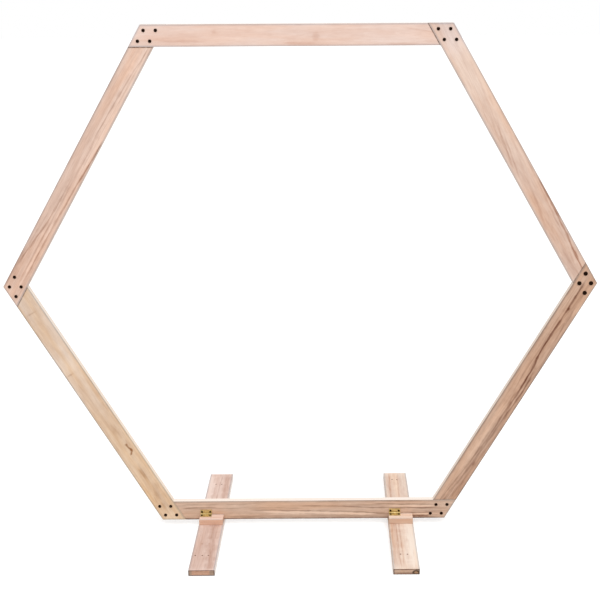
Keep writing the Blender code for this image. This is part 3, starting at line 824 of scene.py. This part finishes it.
def new_object(name, data):
    made = bpy.data.objects.new(name, data)
    bpy.context.scene.collection.objects.link(made)
    return made


def to_mesh(shape, name):
    """Writes a bmesh into a new mesh, and frees it."""
    mesh = bpy.data.meshes.new(name)
    shape.to_mesh(mesh)
    shape.free()
    return mesh


def made_mesh(thing, name):
    """The mesh that an object's modifiers make, as a mesh of its own."""
    bpy.context.view_layer.update()
    graph = bpy.context.evaluated_depsgraph_get()
    mesh = bpy.data.meshes.new_from_object(thing.evaluated_get(graph))
    mesh.name = name
    return mesh


def turned_head(name, radius, height, dome, segments, rim_round=FINE_RIM_ROUND):
    """A round head about the Z axis: its seat at z = 0, and its top a low dome."""
    profile = [(radius, 0.0), (radius, height - dome - rim_round)]
    for step in range(1, RIM_STEPS + 1):
        angle = step * math.pi / (2 * RIM_STEPS)
        profile.append((radius - rim_round * (1 - math.cos(angle)),
                        height - dome - rim_round * (1 - math.sin(angle))))
    for step in range(1, DOME_STEPS):
        share = 1 - step / DOME_STEPS
        profile.append(((radius - rim_round) * share, height - dome * share * share))
    shape = bmesh.new()
    around = [2 * math.pi * k / segments for k in range(segments)]
    rows = [[shape.verts.new((r * math.cos(a), r * math.sin(a), z)) for a in around]
            for r, z in profile]
    top = shape.verts.new((0, 0, height))
    foot = shape.verts.new((0, 0, 0))
    sides = [(k, (k + 1) % segments) for k in range(segments)]
    for lower, upper in zip(rows, rows[1:]):
        for k, j in sides:
            shape.faces.new((lower[k], lower[j], upper[j], upper[k]))
    for k, j in sides:
        shape.faces.new((rows[-1][k], rows[-1][j], top))
        shape.faces.new((rows[0][j], rows[0][k], foot))
    return to_mesh(shape, name)


def carve(mesh, cutters):
    """Cuts each closed cutter mesh out of a mesh."""
    body = new_object(mesh.name, mesh)
    helpers = [new_object(cutter.name, cutter) for cutter in cutters]
    for helper in helpers:
        cut = body.modifiers.new(helper.name, "BOOLEAN")
        cut.operation = "DIFFERENCE"
        cut.solver = "EXACT"
        cut.object = helper
    result = made_mesh(body, mesh.name)
    for helper in [body, *helpers]:
        bpy.data.objects.remove(helper)
    return result


def smooth(mesh):
    mesh.shade_smooth()
    mesh.set_sharp_from_angle(angle=math.radians(SHARP_ANGLE_DEGREES))
    return mesh


def bolt_head_mesh(radius, height):
    head = turned_head("bolt_head", radius, height, BOLT_DOME, BOLT_SEGMENTS, BOLT_RIM_ROUND)
    shape = bmesh.new()
    socket_radius = SOCKET_ACROSS / math.sqrt(3)
    bmesh.ops.create_cone(shape, cap_ends=True, segments=6, radius1=socket_radius,
                          radius2=socket_radius, depth=2 * SOCKET_DEPTH,
                          matrix=Matrix.Translation((0, 0, height)))
    return smooth(carve(head, [to_mesh(shape, "hex_socket")]))


def box_between(name, low, high):
    shape = bmesh.new()
    bmesh.ops.create_cube(shape, size=1.0)
    bmesh.ops.scale(shape, vec=Vector(high) - Vector(low), verts=shape.verts)
    bmesh.ops.translate(shape, vec=(Vector(high) + Vector(low)) / 2, verts=shape.verts)
    return to_mesh(shape, name)


def screw_head_mesh():
    """A low head with a cross slot, a little wider than the hole in the leaf that it covers."""
    radius, top = SCREW_HEAD_DIAMETER / 2, SCREW_HEAD_DOME + SCREW_HEAD_RIM
    head = turned_head("screw_head", radius, top, SCREW_HEAD_DOME, SCREW_SEGMENTS)
    reach, half = radius * SCREW_SLOT_REACH, SCREW_SLOT_WIDTH / 2
    low, high = top - SCREW_SLOT_DEPTH, top + 2 * SCREW_SLOT_DEPTH
    slots = [box_between(name, (-x, -y, low), (x, y, high))
             for name, x, y in (("slot_a", reach, half), ("slot_b", half, reach))]
    return smooth(carve(head, slots))


def nail_head_mesh():
    return smooth(turned_head("nail_head", NAIL_HEAD_DIAMETER / 2, NAIL_HEAD_DOME + NAIL_HEAD_RIM,
                              NAIL_HEAD_DOME, NAIL_SEGMENTS))


def point_value(tree, name, kind):
    node = add(tree, "GeometryNodeInputNamedAttribute", {"Name": name}, data_type=kind)
    return node.outputs["Attribute"]


def set_out_tree(name, head_mesh, material):
    """Geometry Nodes: stands a head on every point, the way it faces, each turned at random."""
    pattern = bpy.data.objects.new(f"{name}_pattern", head_mesh)
    tree = bpy.data.node_groups.new(name, "GeometryNodeTree")
    for label, kind in (("Geometry", "Geometry"), ("Head size", "Float"), ("Seed", "Int")):
        name_socket(tree, label, kind)
    name_socket(tree, "Geometry", "Geometry", "OUTPUT")
    given = add(tree, "NodeGroupInput").outputs
    head = add(tree, "GeometryNodeObjectInfo", {"Object": pattern}, transform_space="ORIGINAL")
    facing = point_value(tree, "facing", "FLOAT_VECTOR")
    width = point_value(tree, "width", "FLOAT")
    upright = add(tree, "FunctionNodeAlignRotationToVector", {"Vector": facing}, axis="Z")
    spin = add(tree, "FunctionNodeRandomValue", {
        "Min": 0.0, "Max": 2 * math.pi, "Seed": given["Seed"]}, data_type="FLOAT")
    about_z = add(tree, "FunctionNodeAxisAngleToRotation", {"Axis": UP, "Angle": spin.outputs[1]})
    turned = add(tree, "FunctionNodeRotateRotation", {
        "Rotation": upright.outputs["Rotation"], "Rotate By": about_z.outputs["Rotation"],
    }, rotation_space="LOCAL")
    widened = times(tree, width, given["Head size"])
    size = add(tree, "ShaderNodeCombineXYZ", {"X": widened, "Y": widened, "Z": given["Head size"]})
    copies = add(tree, "GeometryNodeInstanceOnPoints", {
        "Points": given["Geometry"], "Instance": head.outputs["Geometry"],
        "Rotation": turned.outputs["Rotation"], "Scale": size.outputs["Vector"]})
    real = add(tree, "GeometryNodeRealizeInstances", {"Geometry": copies.outputs["Instances"]})
    coated = add(tree, "GeometryNodeSetMaterial", {
        "Geometry": real.outputs["Geometry"], "Material": material})
    add(tree, "NodeGroupOutput", {"Geometry": coated.outputs["Geometry"]})
    return tree


def set_out(name, tree, places, seed):
    """One mesh with a head at each place: a point, the way the head faces, and how wide it is."""
    points = bpy.data.meshes.new(f"{name}_places")
    points.from_pydata([point for point, facing, width in places], [], [])
    points.attributes.new("facing", "FLOAT_VECTOR", "POINT")
    points.attributes.new("width", "FLOAT", "POINT")
    for number, (point, facing, width) in enumerate(places):
        points.attributes["facing"].data[number].vector = facing
        points.attributes["width"].data[number].value = width
    maker = new_object(name, points)
    modifier = maker.modifiers.new("Set out", "NODES")
    modifier.node_group = tree
    sockets = {item.name: item.identifier for item in tree.interface.items_tree
               if item.in_out == "INPUT"}
    modifier[sockets["Head size"]] = 1.0
    modifier[sockets["Seed"]] = seed
    mesh = made_mesh(maker, name)
    bpy.data.objects.remove(maker)
    return new_object(name, mesh)


def add_bolts():
    """All corner bolts as one piece, each with a hex socket head in front and another behind."""
    names = [f"{corner}_corner_bolt_{count}" for corner in CORNER_NAMES
             for count in range(1, BOLTS_PER_CORNER + 1)]
    low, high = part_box(names[0])
    usual_width = high.x - low.x
    head = bolt_head_mesh(usual_width / 2, FRONT_Y - low.y)
    tree = set_out_tree("set_out_bolts", head, blackened_steel())
    places = []
    for name in names:
        low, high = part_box(name)
        middle = middle_of(name)
        width = (high.x - low.x) / usual_width
        for y, facing in ((FRONT_Y, FRONT), (-FRONT_Y, BACK)):
            places.append(((middle.x, y, middle.z), facing, width))
    bolts = set_out("corner_bolts", tree, places, seed=5)
    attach(bolts, "frame")
    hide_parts(*names)


def dress_hinges():
    brass = brushed_brass()
    for side in ("left", "right"):
        for piece in ("rail_leaf", "foot_leaf", "pin"):
            dress(f"{side}_hinge_{piece}", brass)


def add_hinge_screws():
    """Two screws in each leaf, facing the front in the rail leaf and up in the foot leaf."""
    steel = metal_material("dark_screw_steel")[0]
    tree = set_out_tree("set_out_hinge_screws", screw_head_mesh(), steel)
    for side in ("left", "right"):
        pin = middle_of(f"{side}_hinge_pin")
        rail_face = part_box(f"{side}_hinge_rail_leaf")[1].y - LEAF_THICKNESS
        foot_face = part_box(f"{side}_hinge_foot_leaf")[0].z + LEAF_THICKNESS
        spots = (pin.x - SCREW_SPACING / 2, pin.x + SCREW_SPACING / 2)
        on_rail = [((x, rail_face + SCREW_SINK, pin.z + SCREW_FROM_PIN), FRONT, 1.0) for x in spots]
        on_foot = [((x, pin.y - SCREW_FROM_PIN, foot_face - SCREW_SINK), UP, 1.0) for x in spots]
        for name, body, places in ((f"{side}_rail_leaf_screws", "frame", on_rail),
                                   (f"{side}_foot_leaf_screws", f"{side}_base", on_foot)):
            screws = set_out(name, tree, places, seed=len(name))
            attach(screws, body)


def add_nails():
    tree = set_out_tree("set_out_nails", nail_head_mesh(), metal_material("weathered_nail")[0])
    for side, spots in NAILS.items():
        middle = middle_of(f"{side}_foot")
        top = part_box(f"{side}_foot")[1].z
        places = [((middle.x + across, -to_front, top - NAIL_SINK), UP, 1.0)
                  for across, to_front in spots]
        nails = set_out(f"{side}_foot_nails", tree, places, seed=3)
        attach(nails, f"{side}_base")


# Floor, light and camera

def add_floor():
    """A pale floor, lifted towards white for the camera alone so that only the shadow shows."""
    shape = bmesh.new()
    bmesh.ops.create_grid(shape, x_segments=1, y_segments=1, size=FLOOR_SIZE / 2)
    floor = new_object("studio_floor", to_mesh(shape, "studio_floor"))
    floor.location.z = -FLOOR_DROP
    material, tree, shader = new_material("studio_floor")
    fill(tree, shader, {"Base Color": FLOOR_COLOUR, "Roughness": 0.9, "Specular IOR Level": 0.0})
    glow = add(tree, "ShaderNodeEmission", {"Color": WHITE, "Strength": FLOOR_LIFT})
    both = add(tree, "ShaderNodeAddShader", {0: shader.outputs[0], 1: glow.outputs[0]})
    seen = add(tree, "ShaderNodeLightPath").outputs["Is Camera Ray"]
    choice = add(tree, "ShaderNodeMixShader", {0: seen, 1: shader.outputs[0], 2: both.outputs[0]})
    fill(tree, tree.nodes["Material Output"], {"Surface": choice.outputs[0]})
    floor.data.materials.append(material)


def add_light():
    """Soft light from a white sky with a wide overhead sun. The sky itself is seen as pure white."""
    world = bpy.data.worlds.new("studio_sky")
    bpy.context.scene.world = world
    world.use_nodes = True
    tree = world.node_tree
    soft = tree.nodes["Background"]
    fill(tree, soft, {"Color": WHITE, "Strength": SKY_STRENGTH})
    white = add(tree, "ShaderNodeBackground", {"Color": WHITE, "Strength": 1.0})
    path = add(tree, "ShaderNodeLightPath").outputs
    seen = calc(tree, "MAXIMUM", path["Is Camera Ray"], path["Is Glossy Ray"])
    seen = calc(tree, "MAXIMUM", seen, path["Is Transmission Ray"])
    choice = add(tree, "ShaderNodeMixShader", {0: seen, 1: soft.outputs[0], 2: white.outputs[0]})
    fill(tree, tree.nodes["World Output"], {"Surface": choice.outputs[0]})

    lamp = bpy.data.lights.new("overhead_light", "SUN")
    lamp.energy = SUN_STRENGTH
    lamp.angle = math.radians(SUN_SPREAD_DEGREES)
    sun = new_object("overhead_light", lamp)
    sun.rotation_euler = [math.radians(angle) for angle in SUN_TURN_DEGREES]


def add_camera():
    lens = bpy.data.cameras.new("camera")
    lens.sensor_width = SENSOR_WIDTH
    lens.lens = FOCAL_PIXELS / PICTURE_SIZE * SENSOR_WIDTH
    lens.shift_x = (PICTURE_SIZE / 2 - VIEW_CENTRE_PIXEL[0]) / PICTURE_SIZE
    lens.shift_y = (VIEW_CENTRE_PIXEL[1] - PICTURE_SIZE / 2) / PICTURE_SIZE
    camera = new_object("camera", lens)
    camera.location = CAMERA_PLACE
    camera.rotation_euler = [math.radians(angle) for angle in CAMERA_TURN_DEGREES]
    bpy.context.scene.camera = camera


dress_wood()
add_bolts()
dress_hinges()
add_hinge_screws()
add_nails()
add_floor()
add_light()
add_camera()
bpy.context.scene.view_settings.view_transform = "Standard"
